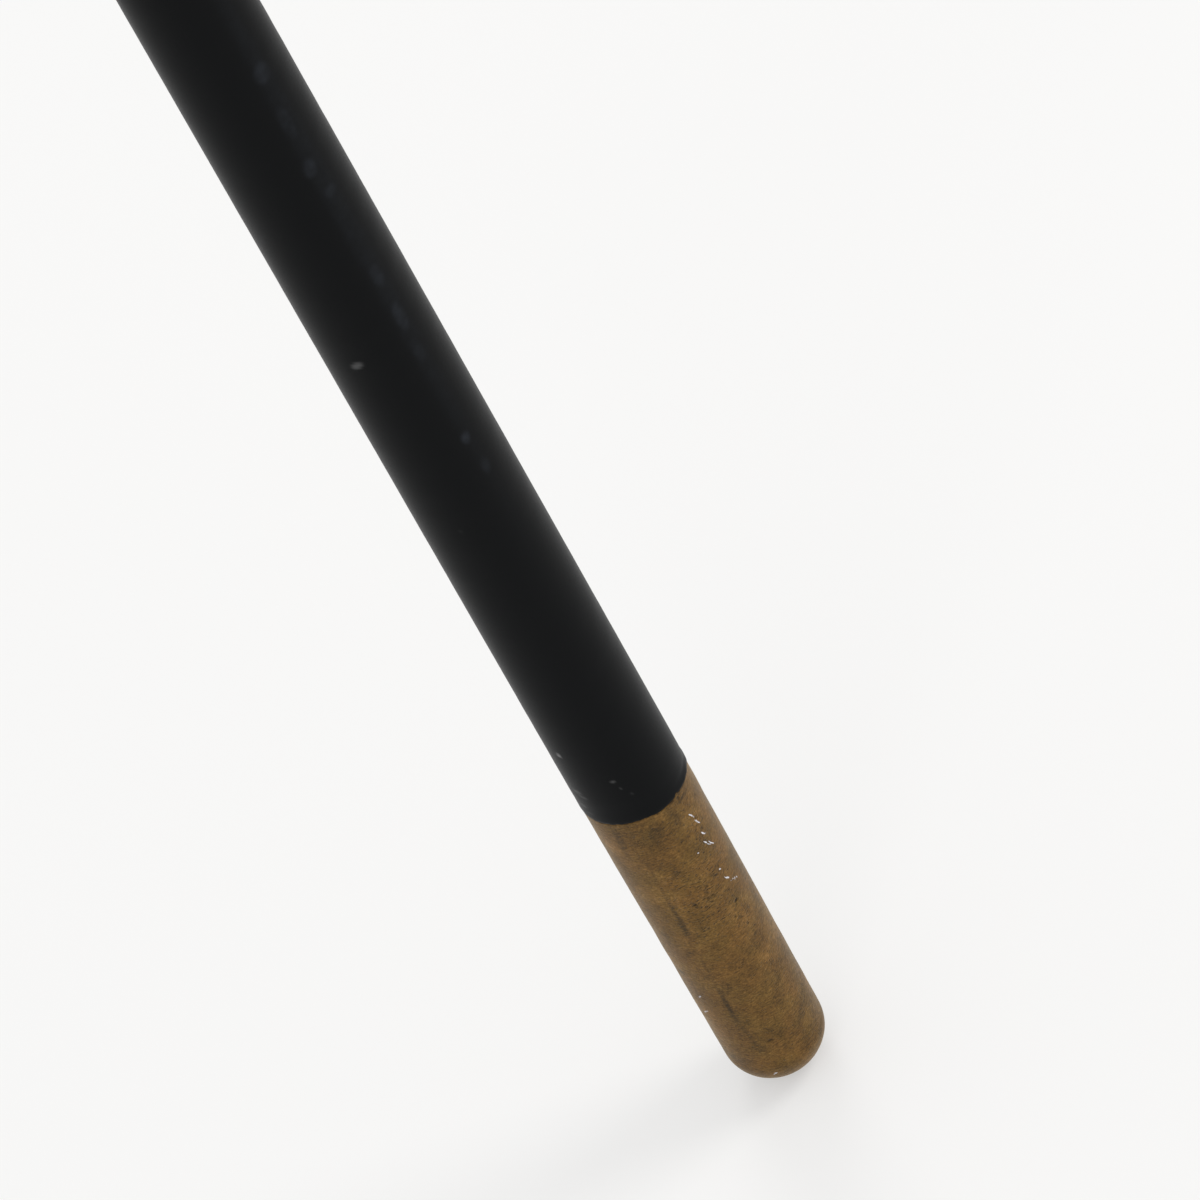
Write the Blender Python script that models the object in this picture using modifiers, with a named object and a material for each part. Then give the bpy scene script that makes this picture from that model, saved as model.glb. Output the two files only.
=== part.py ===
"""Garden dibber: a hand tool for making planting holes, with a T handle.

A turned brass nose is held by a stud to a plug in the lower end of a black steel tube. At the
top a second stud and a sleeve nut clamp the turned wooden grip, and the brass collar under it,
to the tube. The tool stands along +Z with the tip of its nose at the origin, and the grip lies
along X.
"""

import math

import bmesh
import bpy
from mathutils import Matrix, Vector

MM = 0.001

# Clearances
SEAT_GAP = 0.3 * MM          # between two faces that touch, and round a piece in its bore
BOLT_GAP = 0.6 * MM          # round the long stud where it passes through collar and grip

# Shaft tube
SHAFT_DIAMETER = 19.0 * MM   # over the coating
SHAFT_WALL = 1.5 * MM
SHAFT_LENGTH = 232.0 * MM
SHAFT_RIM_RADIUS = 0.8 * MM  # rounding of the lower outer rim
SHAFT_TOP_CHAMFER = 0.4 * MM

# Nose
NOSE_LENGTH = 75.7 * MM      # from the tip to the shoulder
NOSE_STEP = 0.085 * MM       # how far the coating stands proud of the shoulder, each side
NOSE_TAPER = 0.43 * MM       # loss of radius from the shoulder to the rounded end
NOSE_DOME_HEIGHT = 8.3 * MM
NOSE_SHOULDER_CHAMFER = 0.25 * MM
SPIGOT_LENGTH = 12.0 * MM
SPIGOT_CHAMFER = 0.8 * MM

# Studs and plugs
STUD_DIAMETER = 8.0 * MM
STUD_CHAMFER = 0.9 * MM
NOSE_THREAD_DEPTH = 18.0 * MM
PLUG_CHAMFER = 0.6 * MM
LOWER_PLUG_LENGTH = 18.0 * MM
UPPER_PLUG_LENGTH = 22.0 * MM
PLUG_THREAD_ENGAGED = 16.0 * MM

# Collar
COLLAR_WALL = 1.6 * MM
COLLAR_LENGTH = 22.5 * MM
COLLAR_WEB = 4.0 * MM        # thickness above the tube's end
COLLAR_FLANGE_FLARE = 1.5 * MM
COLLAR_FLANGE_HEIGHT = 8.0 * MM
COLLAR_BEAD_RADIUS = 1.1 * MM
COLLAR_EDGE = 0.5 * MM
COLLAR_SINK = 0.6 * MM       # extra depth of the collar's pocket in the grip

# Grip
GRIP_MIDDLE_DIAMETER = 33.0 * MM
GRIP_END_DIAMETER = 24.0 * MM
GRIP_LENGTH = 96.0 * MM      # between the end caps
TENON_WALL_GAP = 1.7 * MM    # wall of a cup plus its clearance, taken off the radius of the wood
TENON_LENGTH = 8.0 * MM

# Washer and sleeve nut
SLEEVE_WALL = 2.0 * MM
SLEEVE_FLOOR = 6.0 * MM      # wood left between the nut's sleeve and the collar
SLEEVE_EDGE = 0.4 * MM
NUT_HEAD_OVERHANG = 2.0 * MM
NUT_RIM_HEIGHT = 0.8 * MM
NUT_DOME_HEIGHT = 2.4 * MM
NUT_SLOT_WIDTH = 1.4 * MM
NUT_SLOT_DEPTH = 1.5 * MM
WASHER_OVERHANG = 2.0 * MM
WASHER_THICKNESS = 1.6 * MM
WASHER_EDGE = 0.3 * MM
WASHER_SINK = 1.0 * MM       # extra depth of the washer's pocket
STUD_TOP_ROOM = 4.0 * MM     # empty thread above the stud's end

# End caps and their screws
CAP_FACE_THICKNESS = 2.4 * MM
CAP_EDGE_RADIUS = 1.5 * MM
CAP_MOUTH_EDGE = 0.3 * MM
SCREW_DIAMETER = 4.0 * MM
SCREW_HEAD_DIAMETER = 7.2 * MM
SCREW_LENGTH = 19.0 * MM
SCREW_POINT_LENGTH = 6.0 * MM
SCREW_HEAD_RIM = 0.3 * MM
SCREW_SLOT_WIDTH = 1.0 * MM
SCREW_SLOT_DEPTH = 0.8 * MM
SCREW_SINK = 0.1 * MM        # how far the head lies below the face of its cap

# Smoothness of turned surfaces
OUTER_STEPS = 48
INNER_STEPS = 24
MERGE = 0.00001

# Radii and levels that follow
SHAFT_RADIUS = SHAFT_DIAMETER / 2
BORE_RADIUS = SHAFT_RADIUS - SHAFT_WALL
PLUG_RADIUS = BORE_RADIUS - SEAT_GAP
STUD_RADIUS = STUD_DIAMETER / 2
THREAD_RADIUS = STUD_RADIUS + SEAT_GAP
PASSAGE_RADIUS = STUD_RADIUS + BOLT_GAP
SHOULDER_RADIUS = SHAFT_RADIUS - NOSE_STEP
DOME_RADIUS = SHOULDER_RADIUS - NOSE_TAPER

SPIGOT_TOP = NOSE_LENGTH + SPIGOT_LENGTH
SHAFT_BOTTOM = NOSE_LENGTH + SEAT_GAP
SHAFT_TOP = SHAFT_BOTTOM + SHAFT_LENGTH
LOWER_PLUG_BOTTOM = SPIGOT_TOP + SEAT_GAP

COLLAR_TOP = SHAFT_TOP + SEAT_GAP + COLLAR_WEB
COLLAR_BOTTOM = COLLAR_TOP - COLLAR_LENGTH
COLLAR_BORE_RADIUS = SHAFT_RADIUS + SEAT_GAP
COLLAR_RADIUS = COLLAR_BORE_RADIUS + COLLAR_WALL
FLANGE_RADIUS = COLLAR_RADIUS + COLLAR_FLANGE_FLARE

GRIP_RADIUS = GRIP_MIDDLE_DIAMETER / 2
GRIP_END_RADIUS = GRIP_END_DIAMETER / 2
TENON_RADIUS = GRIP_END_RADIUS - TENON_WALL_GAP
GRIP_SEAT = COLLAR_TOP + SEAT_GAP
COLLAR_POCKET_RADIUS = FLANGE_RADIUS + SEAT_GAP
SLEEVE_RADIUS = THREAD_RADIUS + SLEEVE_WALL
NUT_HEAD_RADIUS = SLEEVE_RADIUS + NUT_HEAD_OVERHANG
WASHER_RADIUS = NUT_HEAD_RADIUS + WASHER_OVERHANG
WASHER_POCKET_RADIUS = WASHER_RADIUS + SEAT_GAP


def chord_depth(radius, half_width):
    """Distance from the axis of a round bar to the flat of the given half width cut in its side."""
    return math.sqrt(radius ** 2 - half_width ** 2)


GRIP_AXIS = GRIP_SEAT + chord_depth(GRIP_RADIUS, COLLAR_POCKET_RADIUS) - COLLAR_SINK
WASHER_SEAT = GRIP_AXIS + chord_depth(GRIP_RADIUS, WASHER_POCKET_RADIUS) - WASHER_SINK
WASHER_BOTTOM = WASHER_SEAT + SEAT_GAP
NUT_HEAD_BOTTOM = WASHER_BOTTOM + WASHER_THICKNESS + SEAT_GAP
SLEEVE_BOTTOM = GRIP_SEAT + SLEEVE_FLOOR

TENON_END = GRIP_LENGTH / 2 + TENON_LENGTH
CAP_MOUTH = GRIP_LENGTH / 2 + SEAT_GAP
CAP_INNER_FACE = TENON_END + SEAT_GAP
CAP_OUTER_FACE = CAP_INNER_FACE + CAP_FACE_THICKNESS
SCREW_TOP = CAP_OUTER_FACE - SCREW_SINK
SCREW_HEAD_CONE = (SCREW_HEAD_DIAMETER - SCREW_DIAMETER) / 2
LONG_CUT = 2 * GRIP_MIDDLE_DIAMETER


# Scene and helpers -------------------------------------------------------------------------

def clear_scene():
    """Remove what the new file holds."""
    for obj in list(bpy.data.objects):
        bpy.data.objects.remove(obj, do_unlink=True)


def new_collection(name):
    """A collection linked to the scene."""
    collection = bpy.data.collections.new(name)
    bpy.context.scene.collection.children.link(collection)
    return collection


def new_material(name, colour, roughness, metallic):
    """A plain Principled material."""
    material = bpy.data.materials.new(name)
    material.use_nodes = True
    shader = material.node_tree.nodes["Principled BSDF"]
    shader.inputs["Base Color"].default_value = (*colour, 1.0)
    shader.inputs["Roughness"].default_value = roughness
    shader.inputs["Metallic"].default_value = metallic
    material.diffuse_color = (*colour, 1.0)
    return material


def add_object(name, mesh, collection, material=None):
    """Wrap a mesh in an object."""
    obj = bpy.data.objects.new(name, mesh)
    collection.objects.link(obj)
    if material is not None:
        mesh.materials.append(material)
    return obj


def arc(centre, radius_x, radius_z, start, end, count):
    """Points of an elliptic arc in a profile, from one angle to another in degrees."""
    points = []
    for i in range(count + 1):
        angle = math.radians(start + (end - start) * i / count)
        x = centre[0] + radius_x * math.cos(angle)
        z = centre[1] + radius_z * math.sin(angle)
        points.append((x, z))
    return points


def turned(name, profile, collection, material=None, closed=False, steps=OUTER_STEPS):
    """A body turned round Z from (radius, height) points that run down its outer side."""
    mesh = bpy.data.meshes.new(name)
    points = [(radius, 0.0, height) for radius, height in profile]
    edges = [(i, i + 1) for i in range(len(points) - 1)]
    if closed:
        edges.append((len(points) - 1, 0))
    mesh.from_pydata(points, edges, [])
    obj = add_object(name, mesh, collection, material)
    screw = obj.modifiers.new("turn", "SCREW")
    screw.axis = "Z"
    screw.steps = steps
    screw.render_steps = steps
    screw.use_merge_vertices = True
    screw.merge_threshold = MERGE
    screw.use_smooth_shade = True
    return obj


def lay_along_x(obj, direction=1):
    """Turn a body from the Z axis to the axis of the grip, its top towards +X or -X."""
    obj.rotation_euler = (0.0, direction * math.pi / 2, 0.0)
    obj.location = (0.0, 0.0, GRIP_AXIS)


def cylinder(name, radius, bottom, top, collection, steps):
    """A plain cylinder round Z between two heights."""
    mesh = bpy.data.meshes.new(name)
    body = bmesh.new()
    middle = Matrix.Translation(Vector((0.0, 0.0, (bottom + top) / 2)))
    bmesh.ops.create_cone(
        body, cap_ends=True, segments=steps, radius1=radius, radius2=radius,
        depth=top - bottom, matrix=middle,
    )
    body.to_mesh(mesh)
    body.free()
    return add_object(name, mesh, collection)


def box(name, size, centre, collection):
    """A plain box of the given size round a centre."""
    mesh = bpy.data.meshes.new(name)
    body = bmesh.new()
    bmesh.ops.create_cube(body, size=1.0)
    bmesh.ops.scale(body, vec=Vector(size), verts=body.verts)
    bmesh.ops.translate(body, vec=Vector(centre), verts=body.verts)
    body.to_mesh(mesh)
    body.free()
    return add_object(name, mesh, collection)


def cut(obj, tool):
    """Cut a body with a tool."""
    tool.hide_render = True
    tool.display_type = "WIRE"
    boolean = obj.modifiers.new(tool.name, "BOOLEAN")
    boolean.operation = "DIFFERENCE"
    boolean.solver = "EXACT"
    boolean.object = tool


# Sub-parts ---------------------------------------------------------------------------------

def make_nose(parts, brass):
    """Turned nose: spigot with a tapped blind hole, shoulder, long taper and rounded end."""
    hole_bottom = SPIGOT_TOP - NOSE_THREAD_DEPTH
    profile = [
        (0.0, hole_bottom),
        (THREAD_RADIUS, hole_bottom),
        (THREAD_RADIUS, SPIGOT_TOP),
        (PLUG_RADIUS - SPIGOT_CHAMFER, SPIGOT_TOP),
        (PLUG_RADIUS, SPIGOT_TOP - SPIGOT_CHAMFER),
        (PLUG_RADIUS, NOSE_LENGTH),
        (SHOULDER_RADIUS - NOSE_SHOULDER_CHAMFER, NOSE_LENGTH),
        (SHOULDER_RADIUS, NOSE_LENGTH - NOSE_SHOULDER_CHAMFER),
    ]
    dome_centre = (0.0, NOSE_DOME_HEIGHT)
    profile += arc(dome_centre, DOME_RADIUS, NOSE_DOME_HEIGHT, 0, -90, 10)[:-1]
    profile.append((0.0, 0.0))
    return turned("nose", profile, parts, brass)


def make_stud(name, bottom, top, parts, steel):
    """Stud with chamfered ends."""
    profile = [
        (0.0, top),
        (STUD_RADIUS - STUD_CHAMFER, top),
        (STUD_RADIUS, top - STUD_CHAMFER),
        (STUD_RADIUS, bottom + STUD_CHAMFER),
        (STUD_RADIUS - STUD_CHAMFER, bottom),
        (0.0, bottom),
    ]
    return turned(name, profile, parts, steel, steps=INNER_STEPS)


def make_plug(name, bottom, length, parts, steel):
    """Tapped plug that fills the tube's bore."""
    top = bottom + length
    profile = [
        (PLUG_RADIUS - PLUG_CHAMFER, top),
        (PLUG_RADIUS, top - PLUG_CHAMFER),
        (PLUG_RADIUS, bottom + PLUG_CHAMFER),
        (PLUG_RADIUS - PLUG_CHAMFER, bottom),
        (THREAD_RADIUS, bottom),
        (THREAD_RADIUS, top),
    ]
    return turned(name, profile, parts, steel, closed=True, steps=INNER_STEPS)


def make_shaft_tube(parts, coated_steel):
    """Straight tube with a rounded lower rim."""
    rim_centre = (SHAFT_RADIUS - SHAFT_RIM_RADIUS, SHAFT_BOTTOM + SHAFT_RIM_RADIUS)
    profile = [
        (SHAFT_RADIUS - SHAFT_TOP_CHAMFER, SHAFT_TOP),
        (SHAFT_RADIUS, SHAFT_TOP - SHAFT_TOP_CHAMFER),
    ]
    profile += arc(rim_centre, SHAFT_RIM_RADIUS, SHAFT_RIM_RADIUS, 0, -90, 4)
    profile += [
        (BORE_RADIUS, SHAFT_BOTTOM),
        (BORE_RADIUS, SHAFT_TOP),
    ]
    return turned("shaft_tube", profile, parts, coated_steel, closed=True)


def collar_profile():
    """Outer side of the collar: flange, cove, bead and lower lip, from the top down."""
    flange_bottom = COLLAR_TOP - COLLAR_FLANGE_HEIGHT
    bead_height = COLLAR_BOTTOM + COLLAR_EDGE + 2 * COLLAR_BEAD_RADIUS
    cove_height = flange_bottom - bead_height - COLLAR_BEAD_RADIUS
    points = [
        (FLANGE_RADIUS - COLLAR_EDGE, COLLAR_TOP),
        (FLANGE_RADIUS, COLLAR_TOP - COLLAR_EDGE),
    ]
    cove_centre = (COLLAR_RADIUS + COLLAR_FLANGE_FLARE, flange_bottom - cove_height)
    points += arc(cove_centre, COLLAR_FLANGE_FLARE, cove_height, 90, 180, 5)
    points += arc((COLLAR_RADIUS, bead_height), COLLAR_BEAD_RADIUS, COLLAR_BEAD_RADIUS, 90, -90, 6)
    points += [
        (COLLAR_RADIUS, COLLAR_BOTTOM + COLLAR_EDGE),
        (COLLAR_RADIUS - COLLAR_EDGE, COLLAR_BOTTOM),
    ]
    return points


def make_collar(parts, brass):
    """Turned collar: a socket over the tube's end, closed by a web that the stud passes."""
    socket_top = SHAFT_TOP + SEAT_GAP
    profile = collar_profile() + [
        (COLLAR_BORE_RADIUS, COLLAR_BOTTOM),
        (COLLAR_BORE_RADIUS, socket_top),
        (PASSAGE_RADIUS, socket_top),
        (PASSAGE_RADIUS, COLLAR_TOP),
    ]
    return turned("collar", profile, parts, brass, closed=True)


def grip_radius(distance):
    """Radius of the grip at a distance from its middle: a cosine barrel between the caps."""
    share = distance / (GRIP_LENGTH / 2)
    swell = math.cos(share * math.pi / 2) ** 2
    return GRIP_END_RADIUS + (GRIP_RADIUS - GRIP_END_RADIUS) * swell


def make_grip(parts, cutters, wood):
    """Turned cross grip: a barrel with a tenon and a pilot hole at each end, drilled across."""
    rows = 16
    half = GRIP_LENGTH / 2
    pilot_radius = SCREW_DIAMETER / 2 + SEAT_GAP
    pilot_floor = SCREW_TOP - SCREW_LENGTH - SEAT_GAP
    right_end = [
        (0.0, pilot_floor),
        (pilot_radius, pilot_floor),
        (pilot_radius, TENON_END),
        (TENON_RADIUS, TENON_END),
        (TENON_RADIUS, half),
    ]
    barrel = []
    for i in range(rows + 1):
        place = half - GRIP_LENGTH * i / rows
        barrel.append((grip_radius(abs(place)), place))
    left_end = [(radius, -place) for radius, place in reversed(right_end)]
    grip = turned("grip", right_end + barrel + left_end, parts, wood)
    lay_along_x(grip)

    below = GRIP_SEAT - LONG_CUT
    above = WASHER_SEAT + LONG_CUT
    sleeve_floor = SLEEVE_BOTTOM - SEAT_GAP
    holes = (
        ("passage_cut", PASSAGE_RADIUS, below, above, INNER_STEPS),
        ("sleeve_hole_cut", SLEEVE_RADIUS + SEAT_GAP, sleeve_floor, above, INNER_STEPS),
        ("collar_pocket_cut", COLLAR_POCKET_RADIUS, below, GRIP_SEAT, OUTER_STEPS),
        ("washer_pocket_cut", WASHER_POCKET_RADIUS, WASHER_SEAT, above, OUTER_STEPS),
    )
    for name, radius, bottom, top, steps in holes:
        cut(grip, cylinder(name, radius, bottom, top, cutters, steps))
    return grip


def make_washer(parts, brass):
    """Flat washer with broken edges, which the nut's sleeve passes."""
    top = WASHER_BOTTOM + WASHER_THICKNESS
    hole = SLEEVE_RADIUS + SEAT_GAP
    profile = [
        (WASHER_RADIUS - WASHER_EDGE, top),
        (WASHER_RADIUS, top - WASHER_EDGE),
        (WASHER_RADIUS, WASHER_BOTTOM + WASHER_EDGE),
        (WASHER_RADIUS - WASHER_EDGE, WASHER_BOTTOM),
        (hole, WASHER_BOTTOM),
        (hole, top),
    ]
    return turned("grip_washer", profile, parts, brass, closed=True)


def make_sleeve_nut(parts, cutters, brass):
    """Sleeve nut: a low domed, slotted head and a tapped sleeve that runs down into the grip."""
    rim_top = NUT_HEAD_BOTTOM + NUT_RIM_HEIGHT
    dome = arc((0.0, rim_top), NUT_HEAD_RADIUS, NUT_DOME_HEIGHT, 90, 0, 7)[1:]
    profile = [(0.0, rim_top + NUT_DOME_HEIGHT)] + dome
    profile += [
        (NUT_HEAD_RADIUS, NUT_HEAD_BOTTOM),
        (SLEEVE_RADIUS, NUT_HEAD_BOTTOM),
        (SLEEVE_RADIUS, SLEEVE_BOTTOM + SLEEVE_EDGE),
        (SLEEVE_RADIUS - SLEEVE_EDGE, SLEEVE_BOTTOM),
        (THREAD_RADIUS, SLEEVE_BOTTOM),
        (THREAD_RADIUS, NUT_HEAD_BOTTOM),
        (0.0, NUT_HEAD_BOTTOM),
    ]
    nut = turned("sleeve_nut", profile, parts, brass)
    dome_top = rim_top + NUT_DOME_HEIGHT
    size = (4 * NUT_HEAD_RADIUS, NUT_SLOT_WIDTH, 2 * NUT_SLOT_DEPTH)
    slot = box("sleeve_nut_slot_cut", size, (0.0, 0.0, dome_top), cutters)
    cut(nut, slot)
    return nut


def make_end_cap(name, direction, parts, brass):
    """Turned cup over a tenon of the grip, with a countersunk hole in its flat face."""
    edge_centre = (GRIP_END_RADIUS - CAP_EDGE_RADIUS, CAP_OUTER_FACE - CAP_EDGE_RADIUS)
    shank_hole = SCREW_DIAMETER / 2 + SEAT_GAP
    head_hole = SCREW_HEAD_DIAMETER / 2 + SEAT_GAP
    cone_top = SCREW_TOP - SCREW_HEAD_RIM
    profile = [(head_hole, CAP_OUTER_FACE)]
    profile += arc(edge_centre, CAP_EDGE_RADIUS, CAP_EDGE_RADIUS, 90, 0, 4)
    profile += [
        (GRIP_END_RADIUS, CAP_MOUTH + CAP_MOUTH_EDGE),
        (GRIP_END_RADIUS - CAP_MOUTH_EDGE, CAP_MOUTH),
        (TENON_RADIUS + SEAT_GAP, CAP_MOUTH),
        (TENON_RADIUS + SEAT_GAP, CAP_INNER_FACE),
        (shank_hole, CAP_INNER_FACE),
        (shank_hole, cone_top - SCREW_HEAD_CONE),
        (head_hole, cone_top),
    ]
    cap = turned(name, profile, parts, brass, closed=True)
    lay_along_x(cap, direction)
    return cap


def make_end_screw(name, direction, parts, cutters, brass):
    """Slotted countersunk wood screw."""
    shank = SCREW_DIAMETER / 2
    head = SCREW_HEAD_DIAMETER / 2
    cone_top = SCREW_TOP - SCREW_HEAD_RIM
    tip = SCREW_TOP - SCREW_LENGTH
    profile = [
        (0.0, SCREW_TOP),
        (head, SCREW_TOP),
        (head, cone_top),
        (shank, cone_top - SCREW_HEAD_CONE),
        (shank, tip + SCREW_POINT_LENGTH),
        (0.0, tip),
    ]
    screw = turned(name, profile, parts, brass, steps=INNER_STEPS)
    lay_along_x(screw, direction)
    size = (SCREW_SLOT_WIDTH, 2 * SCREW_HEAD_DIAMETER, 2 * SCREW_SLOT_DEPTH)
    slot = box(name + "_slot_cut", size, (0.0, 0.0, SCREW_TOP), cutters)
    lay_along_x(slot, direction)
    cut(screw, slot)
    return screw


# Assembly ----------------------------------------------------------------------------------

def make_dibber():
    """Make every sub-part in its place."""
    clear_scene()
    parts = new_collection("garden_dibber")
    cutters = new_collection("cutters")

    patinated_brass = new_material("patinated_brass", (0.166, 0.098, 0.036), 0.55, 1.0)
    polished_brass = new_material("satin_brass", (0.58, 0.40, 0.17), 0.32, 1.0)
    coated_steel = new_material("black_coated_steel", (0.010, 0.010, 0.011), 0.42, 0.0)
    bright_steel = new_material("zinc_plated_steel", (0.55, 0.56, 0.58), 0.35, 1.0)
    wood = new_material("oiled_ash", (0.42, 0.26, 0.13), 0.5, 0.0)

    make_nose(parts, patinated_brass)
    nose_hole_bottom = SPIGOT_TOP - NOSE_THREAD_DEPTH
    nose_stud_bottom = nose_hole_bottom + SEAT_GAP
    make_stud("nose_stud", nose_stud_bottom, LOWER_PLUG_BOTTOM + PLUG_THREAD_ENGAGED, parts, bright_steel)
    make_plug("lower_plug", LOWER_PLUG_BOTTOM, LOWER_PLUG_LENGTH, parts, bright_steel)
    make_shaft_tube(parts, coated_steel)

    upper_plug_bottom = SHAFT_TOP - UPPER_PLUG_LENGTH
    grip_stud_top = NUT_HEAD_BOTTOM - STUD_TOP_ROOM
    make_plug("upper_plug", upper_plug_bottom, UPPER_PLUG_LENGTH, parts, bright_steel)
    make_collar(parts, polished_brass)
    make_grip(parts, cutters, wood)
    make_stud("grip_stud", SHAFT_TOP - PLUG_THREAD_ENGAGED, grip_stud_top, parts, bright_steel)
    make_washer(parts, polished_brass)
    make_sleeve_nut(parts, cutters, polished_brass)
    for side, direction in (("left", -1), ("right", 1)):
        make_end_cap(side + "_end_cap", direction, parts, polished_brass)
        make_end_screw(side + "_end_screw", direction, parts, cutters, polished_brass)


make_dibber()
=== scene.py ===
"""Looks of the garden dibber: fine turned surfaces and finishes round the fixed CAD frame."""
import math

import bpy
import numpy as np
from mathutils import Matrix, Vector


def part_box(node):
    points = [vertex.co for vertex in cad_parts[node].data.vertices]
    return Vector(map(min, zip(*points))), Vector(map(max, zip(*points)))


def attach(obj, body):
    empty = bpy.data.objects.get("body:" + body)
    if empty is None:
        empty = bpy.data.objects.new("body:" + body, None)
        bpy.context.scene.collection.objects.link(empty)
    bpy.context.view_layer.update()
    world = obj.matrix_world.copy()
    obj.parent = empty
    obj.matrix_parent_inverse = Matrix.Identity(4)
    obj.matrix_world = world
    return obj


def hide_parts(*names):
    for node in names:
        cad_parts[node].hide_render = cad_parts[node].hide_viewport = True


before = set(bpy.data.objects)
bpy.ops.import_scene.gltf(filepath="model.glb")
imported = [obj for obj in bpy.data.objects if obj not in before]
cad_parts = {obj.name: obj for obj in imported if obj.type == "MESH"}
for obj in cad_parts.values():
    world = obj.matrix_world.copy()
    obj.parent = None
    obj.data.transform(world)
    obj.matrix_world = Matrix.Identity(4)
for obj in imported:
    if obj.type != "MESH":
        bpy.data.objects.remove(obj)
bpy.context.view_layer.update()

MM = 0.001

# Places taken from the frame
TUBE_LOW, TUBE_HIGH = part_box("shaft_tube")
COLLAR_LOW, COLLAR_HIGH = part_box("collar")
GRIP_LOW, GRIP_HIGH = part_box("grip")
WASHER_LOW, WASHER_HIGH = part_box("grip_washer")
NUT_LOW, NUT_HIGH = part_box("sleeve_nut")
CAP_LOW, CAP_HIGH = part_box("right_end_cap")
SCREW_LOW, SCREW_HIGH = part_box("right_end_screw")

# Sizes of the turned shapes
SEAT_GAP = 0.3 * MM
LOOK_GAP = 0.05 * MM         # the nose is seen to close on the tube
SMALL_EDGE = 0.2 * MM
TUBE_WALL = 1.5 * MM
TUBE_RIM_RADIUS = 0.15 * MM
TUBE_TOP_CHAMFER = 0.4 * MM
SHOULDER_STEP = 0.12 * MM
NOSE_TAPER = 0.43 * MM
DOME_HEIGHT = 8.3 * MM
SPIGOT_LENGTH = 12.0 * MM
SPIGOT_CHAMFER = 0.8 * MM
STUD_HOLE_RADIUS = 4.3 * MM
STUD_PASSAGE_RADIUS = 4.6 * MM
STUD_HOLE_DEPTH = 18.0 * MM
COLLAR_WALL = 1.6 * MM
COLLAR_FLARE = 1.5 * MM
COLLAR_FLANGE_HEIGHT = 8.0 * MM
COLLAR_BEAD = 1.1 * MM
COLLAR_WEB = 4.0 * MM
COLLAR_EDGE = 0.5 * MM
TENON_LENGTH = 8.0 * MM
TENON_RADIUS = 10.3 * MM
CAP_EDGE_RADIUS = 1.5 * MM
CAP_FACE_THICKNESS = 2.4 * MM
SCREW_SHANK_RADIUS = 2.0 * MM
SCREW_POINT_LENGTH = 6.0 * MM
SCREW_RIM = 0.3 * MM
SCREW_SINK = 0.1 * MM
SCREW_SLOT_WIDTH = 1.0 * MM
SCREW_SLOT_DEPTH = 0.8 * MM
SLEEVE_RADIUS = 6.3 * MM
SLEEVE_FLOOR = 6.0 * MM
SLEEVE_EDGE = 0.4 * MM
NUT_RIM = 0.8 * MM
NUT_SLOT_WIDTH = 1.4 * MM
NUT_SLOT_DEPTH = 1.5 * MM

# The edge between tube and nose
SEAM_DROP = 0.10 * MM
SEAM_SIDE_DROP = 0.38 * MM
SEAM_RAGGED = 0.05 * MM
NICK_HEIGHT = 0.5 * MM
NICK_ANGLE = 33.75           # degrees
NICK_HALF_ANGLE = 2.0

# Steps round each surface
NOSE_STEPS = 336
TUBE_STEPS = 192
COLLAR_STEPS = 160
GRIP_STEPS = 176
ROUND_STEPS = 128            # washer, nut and the tools that cut their pockets
CAP_STEPS = 144
SCREW_STEPS = 96

# Worked out from them
TUBE_RADIUS = TUBE_HIGH.x
BORE_RADIUS = TUBE_RADIUS - TUBE_WALL
JOINT = TUBE_LOW.z
SHOULDER = JOINT - LOOK_GAP
SHOULDER_RADIUS = TUBE_RADIUS - SHOULDER_STEP
DOME_RADIUS = SHOULDER_RADIUS - NOSE_TAPER
SPIGOT_RADIUS = BORE_RADIUS - SEAT_GAP
GRIP_AXIS = (CAP_LOW.z + CAP_HIGH.z) / 2
GRIP_RADIUS = GRIP_HIGH.y
GRIP_END_RADIUS = CAP_HIGH.y
TENON_END = GRIP_HIGH.x
GRIP_HALF = TENON_END - TENON_LENGTH
GRIP_SEAT = COLLAR_HIGH.z + SEAT_GAP
UPRIGHT = Matrix.Identity(4)
TO_RIGHT = Matrix.Translation((0, 0, GRIP_AXIS)) @ Matrix.Rotation(math.pi / 2, 4, "Y")
TO_LEFT = Matrix.Translation((0, 0, GRIP_AXIS)) @ Matrix.Rotation(-math.pi / 2, 4, "Y")


# Surfaces ----------------------------------------------------------------------------------

def line(start, end, step):
    """Evenly spaced profile points from start towards end, without the end itself."""
    start, end = np.array(start, dtype=float), np.array(end, dtype=float)
    count = max(1, round(float(np.linalg.norm(end - start)) / step))
    return start + (end - start) * (np.arange(count)[:, None] / count)


def arc(centre, radius, height, start, end, count):
    """Profile points on an ellipse, (radius cos t, height sin t) from centre, t in degrees."""
    t = np.radians(np.linspace(start, end, count, endpoint=False))
    return np.stack([centre[0] + radius * np.cos(t), centre[1] + height * np.sin(t)], axis=1)


def polyline(corners, step):
    """Profile points along straight stretches between corners, with the last corner."""
    stretches = [line(a, b, step) for a, b in zip(corners[:-1], corners[1:])]
    return np.concatenate(stretches + [np.array([corners[-1]], dtype=float)])


def outward(profile, closed):
    """Outward directions along a profile that runs down its outer side: the tangent turned."""
    if closed:
        tangent = np.roll(profile, -1, axis=0) - np.roll(profile, 1, axis=0)
    else:
        tangent = np.gradient(profile, axis=0)
    tangent /= np.maximum(np.linalg.norm(tangent, axis=1, keepdims=True), 1e-12)
    return np.stack([-tangent[:, 1], tangent[:, 0]], axis=1)


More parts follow.
